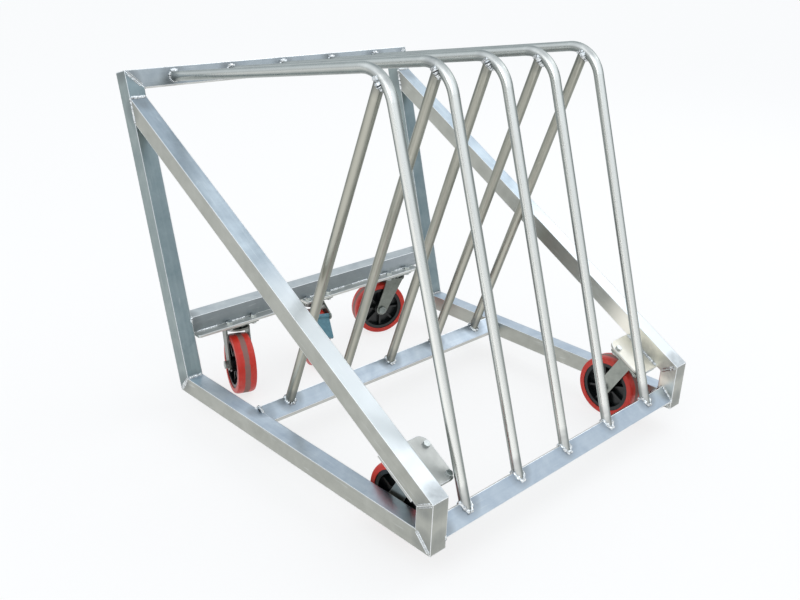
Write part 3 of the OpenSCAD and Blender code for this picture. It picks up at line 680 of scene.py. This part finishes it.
def sky_reflection_tint(tree, colour, tone, facing, sky_tint):
    """A painted sky reflection on faces that look up, from the tint's darkest blue to its palest.
    """
    openness = add(tree, "ShaderNodeVectorMath", {0: facing, 1: SKY_WAY}, operation="DOT_PRODUCT")
    sky_share = add(tree, "ShaderNodeMapRange",
                  {"Value": openness.outputs["Value"], "From Min": 0.5, "From Max": 0.9,
                   "To Max": 0.85}).outputs[0]
    pale = blend(tree, tone, linear(sky_tint[0]), linear(sky_tint[1]))
    return blend(tree, sky_share, colour, pale)


def painted_side_highlight(tree, colour, facing, highlight_colour):
    """A painted highlight of the given colour on the side that faces the highlight's way."""
    toward_highlight = add(tree, "ShaderNodeVectorMath", {0: facing, 1: HIGHLIGHT_WAY},
                      operation="DOT_PRODUCT")
    highlight_share = add(tree, "ShaderNodeMapRange",
                 {"Value": toward_highlight.outputs["Value"], "From Min": 0.55, "From Max": 0.99},
                 interpolation_type="SMOOTHSTEP").outputs[0]
    return blend(tree, highlight_share, colour, linear(highlight_colour))


def painted_light_patch(tree, colour, place, facing, patch):
    """A patch of painted light: its points, reach, the way that it faces and its colour."""
    points, reach, out, light_colour = patch
    lit_share = near_points(tree, place, points, reach)
    outward = add(tree, "ShaderNodeVectorMath", {0: facing, 1: out}, operation="DOT_PRODUCT")
    lit_share = calculate(tree, "MULTIPLY", lit_share, outward.outputs["Value"], use_clamp=True)
    return blend(tree, lit_share, colour, linear(light_colour))


def weld_soot(tree, colour, rough, place, clouds, seams):
    """Soot in cloudy patches round the seams: darker and rougher."""
    soot = calculate(tree, "MULTIPLY", near_points(tree, place, seams, SOOT_REACH), clouds)
    soot = add(tree, "ShaderNodeMapRange",
               {"Value": soot, "From Min": 0.22, "From Max": 0.62, "To Max": 0.5}).outputs[0]
    colour = blend(tree, soot, colour, linear("#6C7072"))
    rough = calculate(tree, "MULTIPLY_ADD", soot, 0.3, rough)
    return colour, rough


print("Soot reaches", round(SOOT_REACH / MM), "mm from a weld")


# %% A bare aluminium finish
def bare_aluminium(name, along, dark, light, seams=(), line_width=3 * MM, shine=(0.26, 0.38),
                   sky_tint=(), grit=1.0, highlight_colour="", light_patches=()):
    """Aluminium as it leaves the die. along is the way of its lines, and seams are the welds on it.

    shine is its lowest and highest roughness, and grit is how much of the lines and
    scuffs shows. The last three give the painted sky reflection on upward faces, the
    painted highlight's colour and the patches of painted light.
    """
    material, tree, shader, place = new_finish(name)
    layers = ROUND_TUBE_CLOUD_LAYERS if highlight_colour else CLOUD_LAYERS
    lines, clouds, scuffs = mill_marks(tree, place, along, line_width, layers)
    tone = calculate(tree, "MULTIPLY", lines, 0.25)
    tone = calculate(tree, "MULTIPLY_ADD", clouds, 0.75, tone)
    tone = add(tree, "ShaderNodeMapRange",
               {"Value": tone, "From Min": 0.25, "From Max": 0.75}).outputs[0]
    colour = blend(tree, tone, linear(dark), linear(light))
    rough = add(tree, "ShaderNodeMapRange",
                {"Value": tone, "To Min": shine[1], "To Max": shine[0]}).outputs[0]

    # The way that each face looks, in the cart's own directions
    facing = add(tree, "ShaderNodeTexCoord").outputs["Normal"]
    # Faces that look up are tinted pale blue, as a painted sky reflection
    if sky_tint:
        colour = sky_reflection_tint(tree, colour, tone, facing, sky_tint)
    # One side of a round tube gets a painted highlight
    if highlight_colour:
        colour = painted_side_highlight(tree, colour, facing, highlight_colour)
    # Patches of painted light and painted reflection
    for patch in light_patches:
        colour = painted_light_patch(tree, colour, place, facing, patch)
    bright = calculate(tree, "MULTIPLY", scuffs, 0.25 * grit)
    colour = blend(tree, bright, colour, linear("#E2E6E6"))
    if seams:
        colour, rough = weld_soot(tree, colour, rough, place, clouds, seams)

    grain = calculate(tree, "MULTIPLY_ADD", clouds, 0.4, lines)
    relief = {"Height": grain, "Strength": 0.25 * grit, "Distance": 0.08 * MM}
    if not highlight_colour:
        # The corners of a square tube and a plate's rim carry a painted highlight
        relief["Normal"], edge = edge_wear_and_highlight(tree, 2.4 * MM, 0.998, 0.94, samples=8)
        colour = blend(tree, edge, colour, linear("#FAFCFD"))
    bump = add(tree, "ShaderNodeBump", relief).outputs[0]
    shader.inputs["Metallic"].default_value = 1
    connect(tree, shader, {"Base Color": colour, "Roughness": rough, "Normal": bump})
    return material


# %% Square tubes of the two sides
# Tints of the painted sky reflection on upward faces. The braces' and the right post's are darker,
# as painted shade
RAIL_SKY_TINT, BRACE_SKY_TINT = ("#AAB9C9", "#D2DCE5"), ("#8C9BA8", "#B4C1CB")
POST_SKY_TINT = {"left": ("#9DB3BD", "#C8D9DF"), "right": ("#6E828B", "#93A5AC")}
CROSSWISE, LENGTHWISE, UPRIGHT = (1, 0, 0), (0, 1, 0), (0, 0, 1)
POST_WAY, BRACE_RUN = way(0, LEAN_UP), way(0, BRACE_WAY)


def square_tube(node, along, seams, sky_tint=RAIL_SKY_TINT, sides=("#A2A49D", "#B8BAB3"), light_patches=()):
    """Finishes a square tube: sides is its darkest and palest grey where no painted sky reflection
    falls.
    """
    finish(node, bare_aluminium("mill_aluminium_" + node, along, *sides, seams, sky_tint=sky_tint,
                                light_patches=light_patches))


# A painted reflection of sunlit ground pales the right front corner, on the sides that look inward
corner_points = [at(INNER_W, BRACE_TOP + BRACE_WAY * s) for s in (FIXED_S - 20, FIXED_S + 60)]
lit_corner = {"left": [], "right": [(corner_points, 150 * MM, (-1, 0, 0), "#FFFCF0")]}
# The lower half of each brace's top is painted paler, as a painted reflection, round
# these millimetres down from its upper end
SHEEN_AT, SHEEN_REACH = (760, 920, 1080), 280 * MM

brace_tie, brace_foot = BRACE_TOP.lerp(BRACE_HEEL, 0.5), BRACE_END.lerp(BRACE_TOE, 0.5)
post_top = LEAN_UP * POST_LEN + LEAN_FRONT * TUBE / 2
front_corner = flat(BASE_D - TUBE / 2, TUBE / 2)
MIDDLE_AXIS = flat(MIDDLE_RAIL_F, TURNED_RAIL_Z)
for name, side in (("left", -1), ("right", 1)):
    mid, inner = side * (HALF_W - TUBE / 2), side * INNER_W
    corner = lit_corner[name]
    brace_sheen = ([at(mid, BRACE_TOP + BRACE_WAY * s) for s in SHEEN_AT], SHEEN_REACH, way(0, -BRACE_UNDER),
            "#CDD2D4")
    # The rear posts' greys are darker than the other tubes', as painted shade
    square_tube("rear_post_" + name, POST_WAY,
                [at(mid, post_top), at(mid, brace_tie), at(mid, HEEL / 2)],
                POST_SKY_TINT[name], ("#7F8E90", "#9DA8A7"))
    square_tube("base_rail_" + name, LENGTHWISE,
                [at(mid, HEEL / 2), at(mid, front_corner), at(inner, MIDDLE_AXIS)])
    square_tube("front_post_" + name, UPRIGHT, [at(mid, front_corner), at(mid, brace_foot)],
                light_patches=corner)
    square_tube("brace_" + name, BRACE_RUN,
                [at(mid, brace_tie), at(mid, brace_foot),
                 at(inner, under_top + BRACE_WAY * FIXED_S)],
                BRACE_SKY_TINT, light_patches=corner + [brace_sheen])
    print("The", name, "side's tubes are finished")

# %% Square tubes across
rail_ends = [-INNER_W, INNER_W]
REAR_AXIS, FRONT_AXIS = sum(rear_outline, flat(0, 0)) / 4, flat(FRONT_RAIL_F, TURNED_RAIL_Z)
square_tube("top_rail", CROSSWISE, [at(x, HOOP_START) for x in HOOPS + [-HALF_W, HALF_W]])
# The rear rail's sides are darker than the other tubes', as painted shade, and its sky tint is grey
square_tube("rear_rail", CROSSWISE, [at(x, REAR_AXIS) for x in rail_ends],
            ("#ACB4B8", "#D4D8D6"), ("#8E969B", "#A9B0B4"))
square_tube("middle_rail", CROSSWISE,
            [at(x, STRUT_END) for x in HOOPS] + [at(x, MIDDLE_AXIS) for x in rail_ends])
square_tube("front_rail", CROSSWISE,
            [at(x, LEG_END) for x in HOOPS] + [at(x, FRONT_AXIS) for x in rail_ends])
print("The cross rails are finished")

# %% [markdown]
# ## Round tubes, plates and weld metal
# The hoops and struts are drawn round tube. It could have one even grey, but the finish
# mixes a dark tone, painted shade on the sides, with a painted highlight on the side
# towards the front left, by the way that the surface looks. The plates are sheared sheet
# with rolling lines. Weld metal is the brightest, with dark oxide left in its hollows.

# %% Round tubes and plates
# Drawing smooths a tube, so its lines are wide and faint and it mirrors more evenly
DRAWN_LINES = 6 * MM
# The round tubes' greys are dark, as painted shade on their sides, and the last colour of each is
# its painted highlight
for k, (x, top, heading) in enumerate(zip(HOOPS, STRUT_TOPS, STRUT_WAYS), 1):
    finish(f"hoop_{k}",
           bare_aluminium(f"drawn_aluminium_hoop_{k}", way(0, LEG_WAY), "#878E8B", "#989F9B",
                          [at(x, HOOP_START), at(x, LEG_END), at(x, top)],
                          line_width=DRAWN_LINES, shine=(0.24, 0.3), grit=0.05, highlight_colour="#FBFBF6"))
    finish(f"strut_{k}",
           bare_aluminium(f"drawn_aluminium_strut_{k}", way(0, heading), "#7F8278", "#93958C",
                          [at(x, top), at(x, STRUT_END)],
                          line_width=DRAWN_LINES, shine=(0.26, 0.34), grit=0.1, highlight_colour="#C6C4B8"))
# Rolled sheet is duller than tube, and the right front plate is painted paler, as a painted
# reflection of sunlit ground
plates = (("front_plate_left", BRACE_RUN, "#B4B5B1", "#C9CAC6", (0.36, 0.5)),
          ("front_plate_right", BRACE_RUN, "#D6D3C9", "#E6E3DA", (0.36, 0.5)),
          ("rear_plate_left", CROSSWISE, "#CFD0CA", "#E4E4DE", (0.34, 0.5)),
          ("rear_plate_right", CROSSWISE, "#CFD0CA", "#E4E4DE", (0.34, 0.5)))
for node, along, dark, light, shine in plates:
    finish(node, bare_aluminium("rolled_aluminium_" + node, along, dark, light, shine=shine))
print(len(HOOPS), "hoops and struts and", len(plates), "plates are finished")


# %% Weld metal
def weld_metal():
    """Solidified aluminium: bright crowns, dark oxide in the hollows between ripples."""
    material, tree, shader, place = new_finish("aluminium_weld_metal")
    specks = add(tree, "ShaderNodeTexNoise",
                 {"Vector": place, "Scale": 1 / (5 * MM), "Detail": 3.0,
                  "Roughness": 0.7}).outputs["Fac"]
    dirt = add(tree, "ShaderNodeMapRange",
               {"Value": specks, "From Min": 0.5, "From Max": 0.72}).outputs[0]
    colour = blend(tree, dirt, linear("#F0F3F4"), linear("#6C7172"))
    rough = add(tree, "ShaderNodeMapRange",
                {"Value": dirt, "To Min": 0.2, "To Max": 0.55}).outputs[0]
    bump = add(tree, "ShaderNodeBump",
               {"Height": specks, "Strength": 0.4, "Distance": 0.3 * MM}).outputs[0]
    shader.inputs["Metallic"].default_value = 1
    connect(tree, shader, {"Base Color": colour, "Roughness": rough, "Normal": bump})
    return material


weld = weld_metal()
for piece in weld_pieces:
    piece.data.materials.append(weld)
print("Weld pieces:", len(weld_pieces))

# %% [markdown]
# ## Zinc-plated steel of the casters
# Caster forks are pressed from steel sheet and plated with zinc, which dulls to a
# greenish grey with fine crystals a few millimetres wide. Grime gathers in patches
# and the edges are rubbed paler. Noise alone gives the grime, but its spots are soft:
# Voronoi cells have the straight borders that crystals have.


# %% A plated steel finish
def plated_steel(name, dark, light, shine, crystal=2 * MM):
    """Steel under zinc: crystal is a crystal's width, shine the lowest and highest roughness."""
    material, tree, shader, place = new_finish(name)
    crystals = add(tree, "ShaderNodeTexVoronoi",
                   {"Vector": place, "Scale": 1 / crystal}).outputs["Color"]
    tint = add(tree, "ShaderNodeSeparateColor", {0: crystals}).outputs[0]
    grime = add(tree, "ShaderNodeTexNoise",
                {"Vector": place, "Scale": 1 / (22 * MM), "Detail": 5.0,
                 "Roughness": 0.65}).outputs["Fac"]
    tone = calculate(tree, "MULTIPLY_ADD", tint, 0.14, grime)
    tone = add(tree, "ShaderNodeMapRange",
               {"Value": tone, "From Min": 0.3, "From Max": 0.85}).outputs[0]
    colour = blend(tree, tone, linear(dark), linear(light))
    rough = add(tree, "ShaderNodeMapRange",
                {"Value": tone, "To Min": shine[1], "To Max": shine[0]}).outputs[0]
    rounded, edge = edge_wear_and_highlight(tree, 0.8 * MM, 0.995, 0.9, most=0.5)
    colour = blend(tree, edge, colour, linear("#DDE1DE"))
    bump = add(tree, "ShaderNodeBump",
               {"Height": grime, "Strength": 0.3, "Distance": 0.2 * MM,
                "Normal": rounded}).outputs[0]
    shader.inputs["Metallic"].default_value = 1
    connect(tree, shader, {"Base Color": colour, "Roughness": rough, "Normal": bump})
    return material


# %% Forks, bolts, shafts and bearings
# Pressed sheet under zinc: a dull grey, mottled by the crystals
zinc = plated_steel("zinc_plated_pressed_steel", "#8F948E", "#ABAFA8", (0.3, 0.42), 2.5 * MM)
# The rear forks' zinc is darker, as painted shade, and duller
shaded_zinc = plated_steel("zinc_with_painted_shade_of_rear_forks", "#787D77", "#929690", (0.34, 0.48), 2.5 * MM)
# Turned bar, dark with grease in its grooves
shaft = plated_steel("turned_axle_steel", "#6E7673", "#A3AAA7", (0.25, 0.45))
# Small bolts have kept their bright zinc
bright_bolt = plated_steel("bright_zinc_bolt_steel", "#B6BBBA", "#DFE3E2", (0.2, 0.4))
# Ground steel mirrors most sharply
ground_steel = plated_steel("ground_bearing_steel", "#8D9392", "#BCC1C0", (0.18, 0.35))
for node in nodes:
    if node.startswith("swivel_fork"):
        finish(node, shaded_zinc)
    elif "fork" in node or node.startswith("swivel_plate"):
        finish(node, zinc)
    elif "axle" in node or node in ("kingpins", "brake_pin"):
        finish(node, shaft)
    elif "bearing" in node or node == "swivel_balls":
        finish(node, ground_steel)
finish("plate_bolts", bright_bolt)
print("Caster steel is finished")

# %% [markdown]
# ## Polyurethane tyres and nylon cores
# Cast polyurethane is a slightly glossy plastic, here red. The middle of the tread
# is worn matt and holds grey floor dirt. A painted stripe would need its own unwrapped
# map for each wheel. The wear follows the wheel instead: the pattern reads the distance
# from the axle's line and along it, worked out per wheel.

# %% Where a point lies on its wheel
WHEEL_R = 75 * MM


def wheel_axes(tree, place, centre, turn):
    """The distance along the axle from the wheel's middle, and the distance from the axle."""
    straighten = Matrix.Rotation(-turn, 3, "Z")
    local = add(tree, "ShaderNodeMapping",
                {"Vector": place, "Rotation": straighten.to_euler(),
                 "Location": -(straighten @ centre)}).outputs[0]
    along = add(tree, "ShaderNodeSeparateXYZ", {0: local}).outputs["X"]
    along = calculate(tree, "ABSOLUTE", along)
    flattened = add(tree, "ShaderNodeVectorMath", {0: local, 1: (0, 1, 1)},
                    operation="MULTIPLY").outputs[0]
    away = add(tree, "ShaderNodeVectorMath", {0: flattened}, operation="LENGTH").outputs["Value"]
    return along, away


print("Wheels are", round(2 * WHEEL_R / MM), "mm across")

# %% A cast tyre
# The worn band is full up to the first distance from the tread's middle and gone at the
# second, less what the blotches fray away
BAND_FULL, BAND_GONE, BAND_FRAY = 10.5 * MM, 12 * MM, 9 * MM
# Only the tread wears: from the first depth below the wheel's outside, fully from the second
WEAR_FROM, WEAR_FULL = 2.5 * MM, 1.2 * MM


def cast_tyre(name, centre, turn):
    """Red polyurethane, with a matt grey band worn round the tread."""
    material, tree, shader, place = new_finish(name)
    along, away = wheel_axes(tree, place, centre, turn)
    blotches = add(tree, "ShaderNodeTexNoise",
                   {"Vector": place, "Scale": 1 / (18 * MM), "Detail": 5.0,
                    "Roughness": 0.65}).outputs["Fac"]
    colour = blend(tree, blotches, linear("#BE1A10"), linear("#E0402E"))
    ragged = calculate(tree, "MULTIPLY_ADD", blotches, BAND_FRAY, along)
    band = add(tree, "ShaderNodeMapRange",
               {"Value": ragged, "From Min": BAND_FULL, "From Max": BAND_GONE, "To Min": 1.0,
                "To Max": 0.0}).outputs[0]
    outside = add(tree, "ShaderNodeMapRange",
                  {"Value": away, "From Min": WHEEL_R - WEAR_FROM,
                   "From Max": WHEEL_R - WEAR_FULL}).outputs[0]
    worn = calculate(tree, "MULTIPLY", band, outside)
    shade = calculate(tree, "MULTIPLY", worn, 0.85)
    colour = blend(tree, shade, colour, linear("#7F7068"))
    dusty = add(tree, "ShaderNodeMapRange",
                {"Value": blotches, "From Min": 0.55, "From Max": 0.8, "To Max": 0.22}).outputs[0]
    colour = blend(tree, dusty, colour, linear("#A08A80"))
    rough = calculate(tree, "MULTIPLY_ADD", worn, 0.3, 0.36)
    bump = add(tree, "ShaderNodeBump",
               {"Height": blotches, "Strength": 0.35, "Distance": 0.4 * MM}).outputs[0]
    shader.inputs["IOR"].default_value = 1.5
    connect(tree, shader, {"Base Color": colour, "Roughness": rough, "Normal": bump})
    return material


# %% A moulded core
# The core pales from the hub's edge out to the rim, from dust and a painted reflection of the rim's
# gloss
HUB_EDGE, RIM_EDGE = 35 * MM, 56 * MM


def moulded_core(name, centre, turn):
    """Black nylon from a mould: even and slightly glossy, paled towards the rim by dust and a
    painted reflection.
    """
    material, tree, shader, place = new_finish(name)
    away = wheel_axes(tree, place, centre, turn)[1]
    dust_and_rim_sheen = add(tree, "ShaderNodeTexNoise",
               {"Vector": place, "Scale": 1 / (12 * MM), "Detail": 5.0,
                "Roughness": 0.6}).outputs["Fac"]
    outward = add(tree, "ShaderNodeMapRange",
                  {"Value": away, "From Min": HUB_EDGE, "From Max": RIM_EDGE,
                   "To Max": 0.4}).outputs[0]
    # Dust and a painted reflection of the rim's gloss pale the core towards its rim
    dusty = calculate(tree, "MULTIPLY", dust_and_rim_sheen, outward)
    colour = blend(tree, dusty, linear("#030A0B"), linear("#142022"))
    rough = add(tree, "ShaderNodeMapRange",
                {"Value": dust_and_rim_sheen, "To Min": 0.18, "To Max": 0.45}).outputs[0]
    bump = add(tree, "ShaderNodeBump",
               {"Height": dust_and_rim_sheen, "Strength": 0.3, "Distance": 0.3 * MM}).outputs[0]
    shader.inputs["IOR"].default_value = 1.53
    connect(tree, shader, {"Base Color": colour, "Roughness": rough, "Normal": bump})
    return material


# %% Every wheel's tyre and core
# How far each rear caster is turned, in degrees. The front ones are fixed straight
wheels = (("fixed", "left", 0), ("fixed", "right", 0),
          ("swivel", "left", -20), ("swivel", "middle", -24), ("swivel", "right", -112))
for kind, name, degrees in wheels:
    low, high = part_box(f"{kind}_tyre_{name}")
    centre, turn = (low + high) / 2, math.radians(degrees)
    finish(f"{kind}_tyre_{name}", cast_tyre(f"cast_polyurethane_{kind}_{name}", centre, turn))
    finish(f"{kind}_core_{name}", moulded_core(f"moulded_nylon_{kind}_{name}", centre, turn))
    print(kind, name, "wheel's centre", [round(c, 4) for c in centre])

# %% [markdown]
# ## The painted brake pedal
# The pedal is pressed steel under a coat of blue-green paint. Shoes chip the paint
# from its edges, and the bare steel shows there. Chips could be cut into the mesh, but
# paint is too thin to show a step, so the edge mask breaks the colour up instead.


# %% Pedal paint
def chipped_paint(name):
    """Paint over steel: the chips are metallic, and all else is not."""
    material, tree, shader, place = new_finish(name)
    noise = add(tree, "ShaderNodeTexNoise",
                {"Vector": place, "Scale": 1 / (7 * MM), "Detail": 5.0,
                 "Roughness": 0.65}).outputs["Fac"]
    paint = blend(tree, noise, linear("#3C6672"), linear("#6B98A6"))
    rounded, edge = edge_wear_and_highlight(tree, 1.5 * MM, 0.99, 0.85)
    chips = calculate(tree, "MULTIPLY", edge, noise)
    bare = add(tree, "ShaderNodeMapRange",
               {"Value": chips, "From Min": 0.42, "From Max": 0.5}).outputs[0]
    colour = blend(tree, bare, paint, linear("#A7ABA9"))
    rough = add(tree, "ShaderNodeMapRange",
                {"Value": noise, "To Min": 0.3, "To Max": 0.55}).outputs[0]
    bump = add(tree, "ShaderNodeBump",
               {"Height": noise, "Strength": 0.25, "Distance": 0.3 * MM,
                "Normal": rounded}).outputs[0]
    connect(tree, shader, {"Base Color": colour, "Metallic": bare, "Roughness": rough,
                           "Normal": bump})
    return material


finish("brake_pedal", chipped_paint("chipped_pedal_paint"))
print("The brake pedal is painted")
